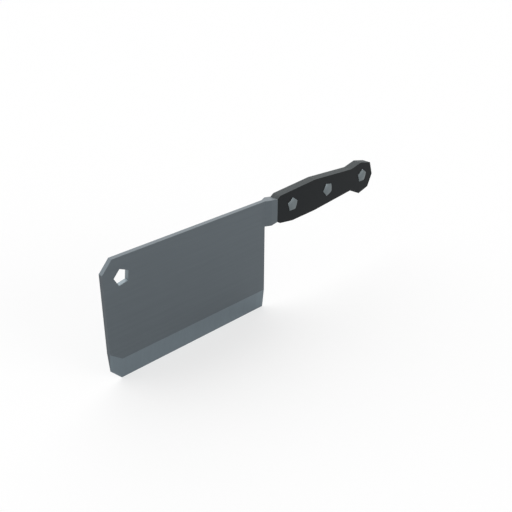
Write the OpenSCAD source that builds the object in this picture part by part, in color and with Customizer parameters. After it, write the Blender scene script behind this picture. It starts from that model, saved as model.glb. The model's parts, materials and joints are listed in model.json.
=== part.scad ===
// Kitchen cleaver: a forged blade with bolster and concealed tang, two moulded handle
// halves and three two-piece rivets. Lengths are in millimetres and angles in degrees.
// The cutting edge lies along X at the bottom and the spine is up. The origin is on the
// ground below the middle of the knife's length, in the plane that halves its thickness.

/* [Blade] */
// Length of the blade, from its front edge to the bolster
blade_l = 180; // [150:1:210]
// Height of the blade, from its cutting edge to its spine
blade_h = 113.5; // [100:0.5:130]
// Thickness of the blade
blade_t = 4.5; // [3:0.1:6]
// Length of the clipped corner at the front of the spine
nose_l = 10; // [4:0.5:16]
// Height of the clipped corner at the front of the spine
nose_h = 11; // [4:0.5:16]

/* [Ground bevel] */
// Height of the bevel above the cutting edge
bevel_h = 19.9; // [14:0.1:25]
// Height at which the bevel meets the front edge
bevel_front_h = 28.8; // [24:0.1:34]
// Distance from the front edge to the bend in the bevel's upper line
bevel_bend_l = 11.6; // [10:0.1:18]
// Length of the clipped corner at the front of the cutting edge
tip_l = 10.6; // [6:0.1:14]
// Height of the clipped corner at the front of the cutting edge
tip_h = 11.4; // [6:0.1:16]

/* [Hanging hole] */
// Distance from the middle of the five-sided hole to each of its corners
hole_r = 7.7; // [5:0.1:10]
// Distance from the front edge to the middle of the hole
hole_front_l = 17.9; // [15:0.1:30]
// Distance from the spine to the middle of the hole
hole_spine_l = 18.3; // [15:0.1:30]
// Angle of the hole's first corner, from the knife's length
hole_turn = 173; // [0:1:359]

/* [Bolster] */
// Length of the bolster
bolster_l = 14.1; // [10:0.1:24]
// Thickness of the bolster
bolster_t = 10.4; // [8:0.1:16]
// Height of the bolster where it meets the blade
bolster_h = 25.7; // [24:0.1:32]
// Height of the bolster where it meets the handle
bolster_rear_h = 23.1; // [18:0.1:25]
// Length over which the bolster swells out of the blade
flare_l = 6.5; // [4:0.1:9]

/* [Tang] */
// Thickness of the tang
tang_t = 3.2; // [2:0.1:4]
// Height of the tang where it leaves the bolster
tang_h = 17; // [14:0.5:20]
// Radius of the tang's rounded tail
tang_tail_r = 7.2; // [6:0.1:8]

/* [Handle] */
// Length of the handle
handle_l = 147.3; // [125:0.1:165]
// Thickness of the handle
handle_t = 9.9; // [8:0.1:14]
// Height of the handle where it meets the bolster
handle_front_h = 22.6; // [22:0.1:27]
// Length of the clipped corners at the front of the handle
corner_l = 4.2; // [1:0.1:6]
// Height of the handle behind its clipped front corners
shoulder_h = 28.2; // [26:0.1:31]
// Distance from the front of the handle to the lowest point of its heel
heel_l = 21.6; // [12:0.1:30]
// Depth of the heel below the handle's centre line
heel_drop = 16.5; // [14:0.1:20]
// Height of the back, at its highest, above the centre line
back_rise = 17.4; // [14:0.1:21]
// Depth of the grip below the centre line, under the highest point of the back
palm_drop = 15.5; // [12:0.1:19]
// Distance from the waist to the end of the handle
waist_l = 36.2; // [32:0.1:46]
// Height of the waist above the centre line
waist_rise = 13.7; // [12:0.1:17]
// Depth of the waist below the centre line
waist_drop = 10; // [9:0.1:14]
// Distance from the widest part of the pommel to the end of the handle
pommel_l = 20.8; // [16:0.1:26]
// Height of the pommel at its widest
pommel_h = 34.4; // [30:0.1:40]
// Distance from the tail's upper corner to the end of the handle
tail_top_l = 4.6; // [3:0.1:10]
// Height of the tail's upper corner above the centre line
tail_rise = 13.7; // [11:0.1:15]
// Distance from the tail's lower corner to the end of the handle
tail_low_l = 6.2; // [3:0.1:10]
// Depth of the tail's lower corner below the centre line
tail_drop = 13.1; // [11:0.1:15]
// Width of the narrow bevel round each outer face
ease_w = 0.2; // [0.1:0.1:1]

/* [Rivets] */
// Distance from the front of the handle to the front rivet
front_rivet_l = 21.3; // [16:0.1:30]
// Distance from the rear rivet to the end of the handle
rear_rivet_l = 17.8; // [15:0.1:22]
// Height of the front rivet above the centre line
front_rivet_rise = 0.7; // [-2:0.1:2]
// Height of the middle rivet above the centre line
middle_rivet_rise = 1.9; // [-2:0.1:3]
// Height of the rear rivet above the centre line
rear_rivet_rise = 2.2; // [-2:0.1:3]
// Distance from the middle of a five-sided rivet head to each of its corners
head_r = 7; // [5:0.1:8]
// Depth to which a rivet head is let into the handle
head_sink = 1.4; // [0.8:0.1:1.8]
// Height of a rivet head's upright rim above the handle
head_rim = 0.1; // [0.1:0.1:1]
// Height of a rivet head's dome above its rim
head_dome = 1.1; // [0.3:0.1:1.5]
// Outer radius of a rivet's hollow shank
sleeve_r = 3.5; // [3:0.1:4]
// Radius of a rivet's solid shank
shank_r = 2.2; // [1.5:0.1:2.5]

/* [Clearances] */
// Gap round each part of a rivet, on the radius
rivet_gap = 0.05; // [0.02:0.01:0.1]
// Gap between the end of a shank and the head that faces it
shank_end_gap = 0.3; // [0.1:0.1:0.6]
// Gap between the tang and its pocket in the handle
tang_gap = 0.1; // [0.05:0.01:0.2]

/* [Hidden] */
// Where the highest point of the back lies, as a share of the handle's length
back_at_share = 0.368;
// Where the middle rivet lies between the other two, as a share of their distance
middle_rivet_share = 0.483;
// Angle of each rivet head's first corner, from the knife's length
front_rivet_turn = 90;
middle_rivet_turn = 186;
rear_rivet_turn = 90;
// Number of sides of the hanging hole
hole_sides = 5;
// Number of sides of each rivet head
head_sides = 5;
// How far cutting shapes run past what they cut
overrun = 1;
// Smoothness of round surfaces
$fn = 64;
// Smoothness of the rivet heads' shallow domes
dome_fineness = 128;
// Colours of the steel blade, the moulded handle halves and the rivets
blade_colour = [0.36, 0.39, 0.41];
handle_colour = [0.16, 0.17, 0.17];
rivet_colour = [0.5, 0.53, 0.53];

knife_l = blade_l + bolster_l + handle_l;
axis_z = blade_h - bolster_h / 2;
handle_x = blade_l + bolster_l;
half_t = handle_t / 2;
seat_y = half_t - head_sink;
pocket_depth = tang_t / 2 + tang_gap;
back_l = handle_l * back_at_share;

// Rivet centres, from the front of the handle's centre line
front_rivet = [front_rivet_l, front_rivet_rise];
rear_rivet = [handle_l - rear_rivet_l, rear_rivet_rise];
middle_rivet_l = front_rivet.x + (rear_rivet.x - front_rivet.x) * middle_rivet_share;
middle_rivet = [middle_rivet_l, middle_rivet_rise];
rivets = [front_rivet, middle_rivet, rear_rivet];

// Side view of the handle, from the front of its centre line, anticlockwise
handle_outline = [
    [0, -handle_front_h / 2],
    [corner_l, -shoulder_h / 2],
    [heel_l, -heel_drop],
    [back_l, -palm_drop],
    [handle_l - waist_l, -waist_drop],
    [handle_l - pommel_l, -pommel_h / 2],
    [handle_l - tail_low_l, -tail_drop],
    [handle_l, 0],
    [handle_l - tail_top_l, tail_rise],
    [handle_l - pommel_l, pommel_h / 2],
    [handle_l - waist_l, waist_rise],
    [back_l, back_rise],
    [corner_l, shoulder_h / 2],
    [0, handle_front_h / 2]
];
// Which corners of the outline are the waist's, below and above the centre line
waist_below = 4;
waist_above = 10;

// Direction into an anticlockwise outline from its side that runs from a to b
function inward(a, b) = let (along = (b - a) / norm(b - a)) [-along.y, along.x];

// Corner b of an anticlockwise outline, moved in so that both its sides move in by d
function inset_corner(a, b, c, d) =
    let (first = inward(a, b), second = inward(b, c))
    b + (first + second) * d / (1 + first * second);

// An anticlockwise outline with all its sides moved in by d
function inset_outline(points, d) =
    let (count = len(points))
    [for (i = [0 : count - 1])
        inset_corner(points[(i + count - 1) % count], points[i], points[(i + 1) % count], d)];

// Places the whole knife over the origin
module in_place() {
    translate([-knife_l / 2, 0, 0]) children();
}

// Turns a side view drawn in X and Y upright, with its thickness toward -Y
module upright() {
    rotate([90, 0, 0]) children();
}

// Moves a side view drawn from the handle's centre line to the handle
module at_handle() {
    translate([handle_x, 0, axis_z]) upright() children();
}

// Everything on the far side of the plane through three points, to which cross(b - a, c - a) points
module beyond_plane(a, b, c) {
    normal = cross(b - a, c - a);
    reach = blade_l + blade_h;
    translate(a)
        rotate([0, acos(normal.z / norm(normal)), atan2(normal.y, normal.x)])
            translate([-reach, -reach, 0])
                cube([2 * reach, 2 * reach, reach]);
}

// What grinding takes off the near side: the long bevel, then two facets round the tip
module ground_off() {
    edge_front = [tip_l, 0, 0];
    edge_rear = [blade_l, 0, 0];
    edge_top = [0, 0, tip_h];
    line_rear = [blade_l, -blade_t / 2, bevel_h];
    line_bend = [bevel_bend_l, -blade_t / 2, bevel_h];
    line_front = [0, -blade_t / 2, bevel_front_h];
    beyond_plane(edge_front, edge_rear, line_rear);
    beyond_plane(edge_front, line_bend, line_front);
    beyond_plane(edge_top, edge_front, line_front);
}

// Side view of the blade, with a stub that runs on into the bolster
module blade_outline() {
    polygon([
        [tip_l, 0],
        [blade_l, 0],
        [blade_l, blade_h - bolster_h],
        [blade_l + flare_l, blade_h - bolster_h],
        [blade_l + flare_l, blade_h],
        [nose_l, blade_h],
        [0, blade_h - nose_h],
        [0, tip_h]
    ]);
}

module ground_blade() {
    difference() {
        translate([0, blade_t / 2, 0]) upright() linear_extrude(blade_t) blade_outline();
        ground_off();
        mirror([0, 1, 0]) ground_off();
        translate([hole_front_l, blade_t / 2 + overrun, blade_h - hole_spine_l])
            upright()
                rotate([0, 0, hole_turn])
                    cylinder(h = blade_t + 2 * overrun, r = hole_r, $fn = hole_sides);
    }
}

// The bolster is the side view and the plan view in one: both shapes have to agree
module bolster() {
    rear_x = blade_l + bolster_l;
    flare_x = blade_l + flare_l;
    bottom_z = axis_z - bolster_h / 2;
    intersection() {
        translate([0, bolster_t / 2 + overrun, 0])
            upright()
                linear_extrude(bolster_t + 2 * overrun)
                    polygon([
                        [blade_l, bottom_z],
                        [flare_x, bottom_z],
                        [rear_x, axis_z - bolster_rear_h / 2],
                        [rear_x, axis_z + bolster_rear_h / 2],
                        [flare_x, blade_h],
                        [blade_l, blade_h]
                    ]);
        translate([0, 0, bottom_z - overrun])
            linear_extrude(bolster_h + 2 * overrun)
                polygon([
                    [blade_l, -blade_t / 2],
                    [flare_x, -bolster_t / 2],
                    [rear_x, -bolster_t / 2],
                    [rear_x, bolster_t / 2],
                    [flare_x, bolster_t / 2],
                    [blade_l, blade_t / 2]
                ]);
    }
}

// Side view of the tang, grown all round by the given gap, from start_x on
module tang_outline(start_x, grow) {
    tail_r = tang_tail_r + grow;
    polygon([
        [start_x, -tang_h / 2 - grow],
        [0, -tang_h / 2 - grow],
        [rear_rivet.x, rear_rivet.y - tail_r],
        [rear_rivet.x, rear_rivet.y + tail_r],
        [0, tang_h / 2 + grow],
        [start_x, tang_h / 2 + grow]
    ]);
    translate(rear_rivet) circle(r = tail_r);
}

// The concealed tang, with a round hole for each rivet's sleeve
module tang() {
    translate([0, tang_t / 2, 0])
        at_handle()
            difference() {
                linear_extrude(tang_t) tang_outline(-bolster_l / 2, 0);
                for (place = rivets)
                    translate([place.x, place.y, -overrun])
                        cylinder(h = tang_t + 2 * overrun, r = sleeve_r + tang_gap);
            }
}

module blade() {
    color(blade_colour)
        in_place()
            union() {
                ground_blade();
                bolster();
                tang();
            }
}

// Closed form between the handle's outline at one height and the same outline moved in at another.
// The outline is hollow only at the waist, so each flat face is two faces that meet there.
module eased_slab(points, low, high, d) {
    count = len(points);
    grip = concat([for (i = [0 : waist_below]) i], [for (i = [waist_above : count - 1]) i]);
    pommel = [for (i = [waist_below : waist_above]) i];
    lower = [for (p = points) [p.x, p.y, low]];
    upper = [for (p = inset_outline(points, d)) [p.x, p.y, high]];
    sides = [for (i = [0 : count - 1]) let (next = (i + 1) % count) [i, count + i, count + next, next]];
    lids = [for (face = [grip, pommel]) [for (i = [len(face) - 1 : -1 : 0]) face[i] + count]];
    polyhedron(points = concat(lower, upper), faces = concat([grip, pommel], lids, sides));
}

// One handle half: flat where it meets the other, hollowed for the tang, bored for the rivets
module scale_half() {
    difference() {
        union() {
            linear_extrude(half_t - ease_w) polygon(handle_outline);
            eased_slab(handle_outline, half_t - ease_w, half_t, ease_w);
        }
        translate([0, 0, -overrun])
            linear_extrude(pocket_depth + overrun) tang_outline(-overrun, tang_gap);
        for (place = rivets)
            translate([place.x, place.y, 0])
                cylinder(h = half_t + overrun, r = sleeve_r + rivet_gap);
        head_recess(front_rivet, front_rivet_turn);
        head_recess(middle_rivet, middle_rivet_turn);
        head_recess(rear_rivet, rear_rivet_turn);
    }
}

// Five-sided recess that a rivet head is let into
module head_recess(place, turn) {
    translate([place.x, place.y, seat_y])
        rotate([0, 0, turn])
            cylinder(h = head_sink + overrun, r = head_r + rivet_gap, $fn = head_sides);
}

module left_scale() {
    color(handle_colour) in_place() at_handle() scale_half();
}

module right_scale() {
    color(handle_colour) in_place() mirror([0, 1, 0]) at_handle() scale_half();
}

// Five-sided head with a low dome, whose underside lies on the floor of its recess
module rivet_head(turn) {
    rim_y = half_t + head_rim;
    dome_r = (head_r * head_r + head_dome * head_dome) / (2 * head_dome);
    intersection() {
        translate([0, 0, seat_y])
            rotate([0, 0, turn])
                cylinder(h = head_sink + head_rim + head_dome + overrun, r = head_r, $fn = head_sides);
        translate([0, 0, rim_y + head_dome - dome_r]) sphere(r = dome_r, $fn = dome_fineness);
    }
}

// Rivet half with the solid shank, on the near side
module rivet_male(place, turn) {
    color(rivet_colour)
        in_place()
            at_handle()
                translate([place.x, place.y, 0])
                    union() {
                        rivet_head(turn);
                        translate([0, 0, shank_end_gap - seat_y])
                            cylinder(h = 2 * seat_y - shank_end_gap + head_sink / 2, r = shank_r);
                    }
}

// Rivet half with the hollow shank, on the far side
module rivet_female(place, turn) {
    color(rivet_colour)
        in_place()
            mirror([0, 1, 0])
                at_handle()
                    translate([place.x, place.y, 0])
                        difference() {
                            union() {
                                rivet_head(turn);
                                translate([0, 0, shank_end_gap - seat_y])
                                    cylinder(h = 2 * seat_y - shank_end_gap + head_sink / 2, r = sleeve_r);
                            }
                            translate([0, 0, -seat_y - overrun])
                                cylinder(h = 2 * seat_y + overrun, r = shank_r + rivet_gap);
                        }
}

blade();
left_scale();
right_scale();
rivet_male(front_rivet, front_rivet_turn);  // front_rivet_male
rivet_female(front_rivet, front_rivet_turn);  // front_rivet_female
rivet_male(middle_rivet, middle_rivet_turn);  // middle_rivet_male
rivet_female(middle_rivet, middle_rivet_turn);  // middle_rivet_female
rivet_male(rear_rivet, rear_rivet_turn);  // rear_rivet_male
rivet_female(rear_rivet, rear_rivet_turn);  // rear_rivet_female
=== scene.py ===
import json
import math

import bpy
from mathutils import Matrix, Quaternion, Vector

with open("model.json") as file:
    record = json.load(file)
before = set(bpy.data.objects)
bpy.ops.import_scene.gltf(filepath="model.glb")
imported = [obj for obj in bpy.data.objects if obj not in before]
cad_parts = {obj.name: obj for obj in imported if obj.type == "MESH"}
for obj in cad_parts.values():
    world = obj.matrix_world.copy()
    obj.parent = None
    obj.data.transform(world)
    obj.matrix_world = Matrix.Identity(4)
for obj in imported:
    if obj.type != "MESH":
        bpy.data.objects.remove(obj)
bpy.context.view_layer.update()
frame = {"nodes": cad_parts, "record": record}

MM = 0.001

# Camera: the photograph's view, as its straight edges give it
CAMERA_TARGET = Vector((0.0002, 0.0, 0.0592))
CAMERA_AZIMUTH = -45.056
CAMERA_ELEVATION = 26.751
CAMERA_ROLL = 0.384
CAMERA_DISTANCE = 0.6791
CAMERA_LENS_MM = 50.0
CAMERA_SENSOR_MM = 36.0
CAMERA_NEAREST = 0.01
CAMERA_FURTHEST = 50.0

# Studio: a white room with a weak fill, and soft suns that stand for wide softboxes
FLOOR_SIZE = 30.0
FLOOR_COLOUR = (0.8, 0.8, 0.8, 1.0)
WHITE = (1.0, 1.0, 1.0, 1.0)
# Share of the floor's white that it shows by itself, which keeps the shadow light
FLOOR_GLOW = 0.65
# How bright the room is as light, and how bright the room and the floor's glow are where seen
WORLD_FILL = 0.48
SEEN_STRENGTH = 1.0
# Each lamp's azimuth, elevation, width of its disc in the sky, and strength
LAMPS = {
    "back_right": (142.0, 36.0, 60.0, 0.98),
    "back_left": (218.0, 40.0, 60.0, 1.30),
    "front": (18.0, 12.0, 40.0, 0.95),
}

# Steel of the blade and the bolster: its flat faces, the ground bevel, lighter partly with painted
# light, what goes round it such as the spine, the upright faces at its front and heel, darker with
# painted shade, and the hanging hole's walls, the brightest with painted light
BLADE_COLOUR = (0.111, 0.129, 0.142, 1.0)
BLADE_COLOURS = {
    "side": BLADE_COLOUR,
    # The ground bevel: lighter partly for its finer grind and partly by painted light
    "bevel": (0.157, 0.191, 0.213, 1.0),
    "round": BLADE_COLOUR,
    # Painted shade: the upright front and heel faces are darker than the flat faces
    "end": (0.093, 0.109, 0.122, 1.0),
    # Painted light: the hanging hole's walls are lighter than the flat faces
    "hole": (0.193, 0.228, 0.248, 1.0),
}
BLADE_ROUGHNESS = 0.48
# Rivets, which are polished a little finer, and their flanks, which mirror the black handle and are
# lightened there by painted light
HEAD_COLOUR = (0.142, 0.165, 0.174, 1.0)
FLANK_PAINTED_LIGHT = (0.53, 0.58, 0.60, 1.0)
RIVET_COLOURS = {
    "side": HEAD_COLOUR,
    "bevel": HEAD_COLOUR,
    # Painted light on the flanks, much lighter than the heads
    "round": FLANK_PAINTED_LIGHT,
    "end": FLANK_PAINTED_LIGHT,
    "hole": HEAD_COLOUR,
}
RIVET_ROUGHNESS = 0.34

# Where the hanging hole is, and how far the painted light on its walls reaches from its middle
HOLE = next(mount for mount in frame["record"]["mounts"] if mount["name"] == "hang_hole")
HOLE_REACH = 9 * MM

# How squarely a face looks along an axis, from 0 to 1. The ground bevel lies between two values
# of it along Y, an upright end is above one along X, and what goes round a piece, such as the
# spine, the handle's rim or a rivet's flank, is below one along Y
BEVEL_FACING = (0.97, 0.9985)
END_FACING = 0.9
ROUND_FACING = 0.5

# Handle: moulded cheeks, and the rim round them, which is sanded flush and rougher, and made lighter
# by painted light
CHEEK_COLOUR = (0.0075, 0.0095, 0.0110, 1.0)
RIM_PAINTED_LIGHT = (0.087, 0.096, 0.099, 1.0)
RIM_ROUGHER = 0.28
HANDLE_SHINE = 0.13

# Patterns: the size of their features along X, Y and Z, their detail and their own roughness
LONG_GRAIN = ((30 * MM, 0.25 * MM, 0.25 * MM), 3.0, 0.6)
LONG_BANDS = ((90 * MM, 2.5 * MM, 2.5 * MM), 2.0, 0.5)
CROSS_GRAIN = ((0.35 * MM, 0.35 * MM, 12 * MM), 3.0, 0.6)
CROSS_BANDS = ((2.2 * MM, 2.2 * MM, 60 * MM), 2.0, 0.5)
STEEL_CLOUDS = ((45 * MM, 45 * MM, 45 * MM), 3.0, 0.5)
PLASTIC_GRAIN = ((0.45 * MM, 0.45 * MM, 0.45 * MM), 2.0, 0.6)
PLASTIC_CLOUDS = ((25 * MM, 25 * MM, 25 * MM), 3.0, 0.5)

# The stretch of each pattern that a surface follows
WHOLE = (0.0, 1.0)
STEEL_GRAIN_SPAN = (0.2, 0.8)
BANDS_SPAN = (0.25, 0.75)
PLASTIC_GRAIN_SPAN = (0.25, 0.75)
CLOUDS_SPAN = (0.3, 0.7)

# What the colour is multiplied by at the two ends of each stretch
STEEL_GRAIN_TONES = (0.93, 1.07)
BANDS_TONES = (0.97, 1.03)
STEEL_CLOUDS_TONES = (0.985, 1.015)
STEEL_WORN_TONES = (1.0, 1.25)
PLASTIC_GRAIN_TONES = (0.88, 1.12)
PLASTIC_CLOUDS_TONES = (0.94, 1.06)
PLASTIC_WORN_TONES = (1.0, 1.5)

# Roughness: how far the steel's grain moves it each way, what the plastic's grain gives, what the
# clouds add, and what full wear takes off
STEEL_GRAIN_ROUGHER = 0.05
PLASTIC_ROUGHNESS = (0.46, 0.58)
STEEL_CLOUDS_ROUGHER = (-0.02, 0.02)
PLASTIC_CLOUDS_ROUGHER = (-0.03, 0.03)
STEEL_WORN_SMOOTHER = 0.08
PLASTIC_WORN_SMOOTHER = 0.1

# Wear along the edges: how far it reaches, its share from place to place, and how well a rounded
# normal still agrees with the flat one where the wear is full
STEEL_WEAR_REACH = 0.35 * MM
PLASTIC_WEAR_REACH = 0.5 * MM
WEAR_SHARES = (0.3, 1.0)
FULL_WEAR_AGREES = 0.9
WEAR_SAMPLES = 6

# Edges look rounded by this radius, and the grain stands up by this strength and depth
STEEL_ROUNDING = 0.15 * MM
PLASTIC_ROUNDING = 0.3 * MM
ROUNDING_SAMPLES = 4
STEEL_BUMP = (0.35, 0.01 * MM)
PLASTIC_BUMP = (0.5, 0.03 * MM)


def direction(azimuth, elevation):
    """From the object towards a place round it: azimuth 0 is the side that faces -Y, 90 faces +X."""
    a = math.radians(azimuth)
    e = math.radians(elevation)
    return Vector((math.sin(a) * math.cos(e), -math.cos(a) * math.cos(e), math.sin(e)))


def put(name, data, location=(0.0, 0.0, 0.0)):
    """A new object in the scene."""
    thing = bpy.data.objects.new(name, data)
    thing.location = location
    bpy.context.scene.collection.objects.link(thing)
    return thing


class Graph:
    """The nodes of one material or world. An input takes a number, a colour or another node's output."""

    def __init__(self, owner):
        owner.use_nodes = True
        self.tree = owner.node_tree
        self.tree.nodes.clear()

    def add(self, kind, inputs=None, **settings):
        node = self.tree.nodes.new("ShaderNode" + kind)
        for name, value in settings.items():
            setattr(node, name, value)
        for socket, value in (inputs or {}).items():
            if isinstance(value, bpy.types.NodeSocket):
                self.tree.links.new(value, node.inputs[socket])
            else:
                node.inputs[socket].default_value = value
        return node

    def math(self, operation, first, second=0.0):
        return self.add("Math", {0: first, 1: second}, operation=operation).outputs[0]

    def times(self, *factors):
        """The product of numbers, some of which vary over the surface."""
        product = factors[0]
        for factor in factors[1:]:
            product = self.math("MULTIPLY", product, factor)
        return product

    def spread(self, value, source, target):
        """value, carried from one range to another and held inside it."""
        inputs = {"Value": value, "From Min": source[0], "From Max": source[1],
                  "To Min": target[0], "To Max": target[1]}
        return self.add("MapRange", inputs).outputs["Result"]

    def between(self, share, first, second):
        """The first number where share is 0 and the second where it is 1."""
        return self.add("Mix", {"Factor": share, "A": first, "B": second}).outputs["Result"]

    def blend(self, share, first, second):
        """The first colour where share is 0 and the second where it is 1."""
        return self.add("MixRGB", {"Fac": share, "Color1": first, "Color2": second}).outputs["Color"]

    def scaled(self, colour, amount):
        """A colour times a number that varies over the surface."""
        inputs = {0: colour, "Scale": amount}
        return self.add("VectorMath", inputs, operation="SCALE").outputs["Vector"]

    def place(self):
        """Where a point lies in the knife's own frame."""
        return self.add("TexCoord").outputs["Object"]

    def facing(self, axis):
        """How squarely a flat face looks along an axis, either way: 0 not at all, 1 straight."""
        normal = self.add("NewGeometry").outputs["True Normal"]
        return self.math("ABSOLUTE", self.add("SeparateXYZ", {0: normal}).outputs[axis])

    def noise(self, pattern):
        """Noise from 0 to 1 in one of the patterns."""
        sizes, detail, roughness = pattern
        scale = tuple(1.0 / size for size in sizes)
        stretched = self.add("VectorMath", {0: self.place(), 1: scale}, operation="MULTIPLY")
        inputs = {"Vector": stretched.outputs["Vector"], "Scale": 1.0, "Detail": detail,
                  "Roughness": roughness}
        return self.add("TexNoise", inputs).outputs["Fac"]

    def edges(self, reach):
        """From 0 on a flat face to 1 on an edge, within reach of it."""
        rounded = self.add("Bevel", {"Radius": reach}, samples=WEAR_SAMPLES).outputs["Normal"]
        flat = self.add("NewGeometry").outputs["True Normal"]
        inputs = {0: rounded, 1: flat}
        agree = self.add("VectorMath", inputs, operation="DOT_PRODUCT").outputs["Value"]
        return self.spread(agree, (FULL_WEAR_AGREES, 1.0), (1.0, 0.0))


def seen_directly(graph):
    """1 for what the camera sees, straight or in a reflection or through glass, and 0 for light."""
    path = graph.add("LightPath").outputs
    shown = graph.math("ADD", path["Is Camera Ray"], path["Is Glossy Ray"])
    both = graph.add("Math", {0: shown, 1: path["Is Transmission Ray"]}, operation="ADD", use_clamp=True)
    return both.outputs[0]


def make_camera():
    """The photograph's view."""
    data = bpy.data.cameras.new("camera")
    data.lens = CAMERA_LENS_MM
    data.sensor_width = CAMERA_SENSOR_MM
    data.clip_start = CAMERA_NEAREST
    data.clip_end = CAMERA_FURTHEST
    back = direction(CAMERA_AZIMUTH, CAMERA_ELEVATION)
    camera = put("camera", data, CAMERA_TARGET + back * CAMERA_DISTANCE)
    roll = Quaternion((0.0, 0.0, 1.0), math.radians(CAMERA_ROLL))
    camera.rotation_mode = "QUATERNION"
    camera.rotation_quaternion = (-back).to_track_quat("-Z", "Y") @ roll
    bpy.context.scene.camera = camera


def floor_material():
    """Pale as light, nearly white where it is seen, and clear from below."""
    material = bpy.data.materials.new("floor")
    graph = Graph(material)
    light = graph.add("BsdfDiffuse", {"Color": FLOOR_COLOUR}).outputs["BSDF"]
    lit = graph.add("BsdfDiffuse", {"Color": WHITE}).outputs["BSDF"]
    glow = graph.add("Emission", {"Color": WHITE, "Strength": SEEN_STRENGTH}).outputs["Emission"]
    seen = graph.add("MixShader", {0: FLOOR_GLOW, 1: lit, 2: glow}).outputs["Shader"]
    top = graph.add("MixShader", {0: seen_directly(graph), 1: light, 2: seen}).outputs["Shader"]
    under = graph.add("BsdfTransparent").outputs["BSDF"]
    below = graph.add("NewGeometry").outputs["Backfacing"]
    both = graph.add("MixShader", {0: below, 1: top, 2: under}).outputs["Shader"]
    graph.add("OutputMaterial", {"Surface": both})
    return material


def make_floor():
    """A pale floor under the cutting edge."""
    half = FLOOR_SIZE / 2
    data = bpy.data.meshes.new("floor")
    corners = [(-half, -half, 0.0), (half, -half, 0.0), (half, half, 0.0), (-half, half, 0.0)]
    data.from_pydata(corners, [], [(0, 1, 2, 3)])
    floor = put("floor", data)
    data.materials.append(floor_material())


def make_world():
    """An even white room that gives a weak fill."""
    world = bpy.data.worlds.new("world")
    bpy.context.scene.world = world
    graph = Graph(world)
    strength = graph.spread(seen_directly(graph), WHOLE, (WORLD_FILL, SEEN_STRENGTH))
    inputs = {"Color": WHITE, "Strength": strength}
    graph.add("OutputWorld", {"Surface": graph.add("Background", inputs).outputs["Background"]})


def make_lamps():
    """The soft suns round the knife."""
    for name, (azimuth, elevation, width, strength) in LAMPS.items():
        data = bpy.data.lights.new(name, "SUN")
        data.angle = math.radians(width)
        data.energy = strength
        lamp = put(name, data)
        lamp.rotation_mode = "QUATERNION"
        lamp.rotation_quaternion = direction(azimuth, elevation).to_track_quat("Z", "Y")


def in_hole(graph):
    """1 within reach of the middle of the hanging hole, seen from the side, and 0 elsewhere."""
    x, y, z = HOLE["pos_m"]
    from_middle = graph.add("VectorMath", {0: graph.place(), 1: (x, y, z)}, operation="SUBTRACT")
    inputs = {0: from_middle.outputs["Vector"], 1: (1.0, 0.0, 1.0)}
    sideways = graph.add("VectorMath", inputs, operation="MULTIPLY").outputs["Vector"]
    distance = graph.add("VectorMath", {0: sideways}, operation="LENGTH").outputs["Value"]
    return graph.math("LESS_THAN", distance, HOLE_REACH)


def steel_faces(graph):
    """Masks, which are 1 on the ground bevel, what goes round, the upright ends and the hole's walls."""
    sideways = graph.facing("Y")
    low, high = BEVEL_FACING
    tilted = graph.math("LESS_THAN", sideways, high)
    bevel = graph.times(tilted, graph.math("GREATER_THAN", sideways, low))
    around = graph.math("LESS_THAN", sideways, ROUND_FACING)
    end = graph.math("GREATER_THAN", graph.facing("X"), END_FACING)
    hole = graph.times(in_hole(graph), around)
    return bevel, around, end, hole


def worn_edges(graph, reach, clouds):
    """Wear along the edges, stronger in some places than in others."""
    return graph.times(graph.edges(reach), graph.spread(clouds, CLOUDS_SPAN, WEAR_SHARES))


def join_shader(graph, colour, rough, grain, rounding, relief, gloss):
    """Joins colour, roughness and grain in one shader, with edges that look rounded."""
    rounded = graph.add("Bevel", {"Radius": rounding}, samples=ROUNDING_SAMPLES).outputs["Normal"]
    strength, depth = relief
    inputs = {"Strength": strength, "Distance": depth, "Height": grain, "Normal": rounded}
    bump = graph.add("Bump", inputs).outputs["Normal"]
    inputs = {"Base Color": colour, "Roughness": rough, "Normal": bump, **gloss}
    shader = graph.add("BsdfPrincipled", inputs).outputs["BSDF"]
    graph.add("OutputMaterial", {"Surface": shader})


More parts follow.
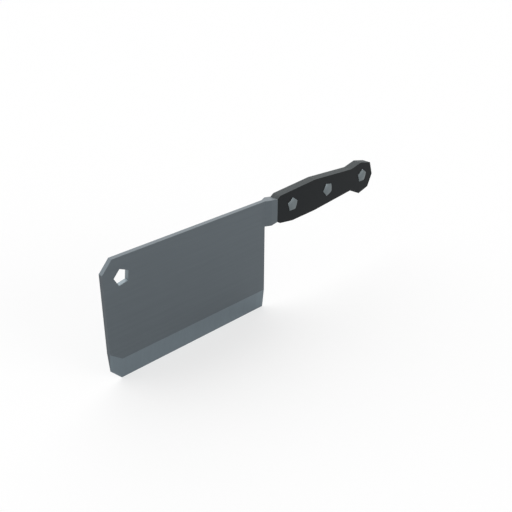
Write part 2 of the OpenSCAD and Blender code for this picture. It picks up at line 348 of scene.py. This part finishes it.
def steel_material(name, roughness, colours):
    """Satin steel: grain along the knife on its flats, and across it on the ground bevel."""
    material = bpy.data.materials.new(name)
    graph = Graph(material)
    bevel, around, end, hole = steel_faces(graph)
    grain = graph.between(bevel, graph.noise(LONG_GRAIN), graph.noise(CROSS_GRAIN))
    bands = graph.between(bevel, graph.noise(LONG_BANDS), graph.noise(CROSS_BANDS))
    clouds = graph.noise(STEEL_CLOUDS)
    worn = worn_edges(graph, STEEL_WEAR_REACH, clouds)

    # On the blade the bevel is lighter, partly by painted light
    colour = graph.blend(bevel, colours["side"], colours["bevel"])
    # Painted light on the rivets' flanks; on the blade this is its own colour
    colour = graph.blend(around, colour, colours["round"])
    # Painted shade on the blade's upright ends, and painted light on the rivets' flanks
    colour = graph.blend(end, colour, colours["end"])
    # Painted light on the hanging hole's walls
    colour = graph.blend(hole, colour, colours["hole"])
    tone = graph.times(graph.spread(grain, STEEL_GRAIN_SPAN, STEEL_GRAIN_TONES),
                       graph.spread(bands, BANDS_SPAN, BANDS_TONES),
                       graph.spread(clouds, CLOUDS_SPAN, STEEL_CLOUDS_TONES),
                       graph.spread(worn, WHOLE, STEEL_WORN_TONES))

    swing = (roughness - STEEL_GRAIN_ROUGHER, roughness + STEEL_GRAIN_ROUGHER)
    rough = graph.math("ADD", graph.spread(grain, STEEL_GRAIN_SPAN, swing),
                       graph.spread(clouds, CLOUDS_SPAN, STEEL_CLOUDS_ROUGHER))
    rough = graph.math("SUBTRACT", rough, graph.times(worn, STEEL_WORN_SMOOTHER))
    join_shader(graph, graph.scaled(colour, tone), rough, grain, STEEL_ROUNDING, STEEL_BUMP,
                {"Metallic": 1.0})
    return material


def handle_material(name):
    """Black moulded plastic with a fine leathery grain, painted light on its sanded rim, rubbed edges.
    """
    material = bpy.data.materials.new(name)
    graph = Graph(material)
    rim = graph.math("LESS_THAN", graph.facing("Y"), ROUND_FACING)
    grain = graph.noise(PLASTIC_GRAIN)
    clouds = graph.noise(PLASTIC_CLOUDS)
    worn = worn_edges(graph, PLASTIC_WEAR_REACH, clouds)

    # Painted light: the rim is lighter than the cheeks
    colour = graph.blend(rim, CHEEK_COLOUR, RIM_PAINTED_LIGHT)
    tone = graph.times(graph.spread(grain, PLASTIC_GRAIN_SPAN, PLASTIC_GRAIN_TONES),
                       graph.spread(clouds, CLOUDS_SPAN, PLASTIC_CLOUDS_TONES),
                       graph.spread(worn, WHOLE, PLASTIC_WORN_TONES))

    rough = graph.math("ADD", graph.spread(grain, PLASTIC_GRAIN_SPAN, PLASTIC_ROUGHNESS),
                       graph.spread(clouds, CLOUDS_SPAN, PLASTIC_CLOUDS_ROUGHER))
    rough = graph.math("ADD", rough, graph.times(rim, RIM_ROUGHER))
    rough = graph.math("SUBTRACT", rough, graph.times(worn, PLASTIC_WORN_SMOOTHER))
    join_shader(graph, graph.scaled(colour, tone), rough, grain, PLASTIC_ROUNDING, PLASTIC_BUMP,
                {"Specular IOR Level": HANDLE_SHINE})
    return material


def dress():
    """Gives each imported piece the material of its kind."""
    blade_steel = steel_material("blade_steel_look", BLADE_ROUGHNESS, BLADE_COLOURS)
    rivet_steel = steel_material("rivet_steel_look", RIVET_ROUGHNESS, RIVET_COLOURS)
    handle_plastic = handle_material("handle_plastic_look")
    for name, node in frame["nodes"].items():
        if "rivet" in name:
            node.material_slots[0].material = rivet_steel
        elif "scale" in name:
            node.material_slots[0].material = handle_plastic
        else:
            node.material_slots[0].material = blade_steel


make_camera()
make_floor()
make_world()
make_lamps()
dress()

bpy.context.scene.view_settings.view_transform = "Standard"
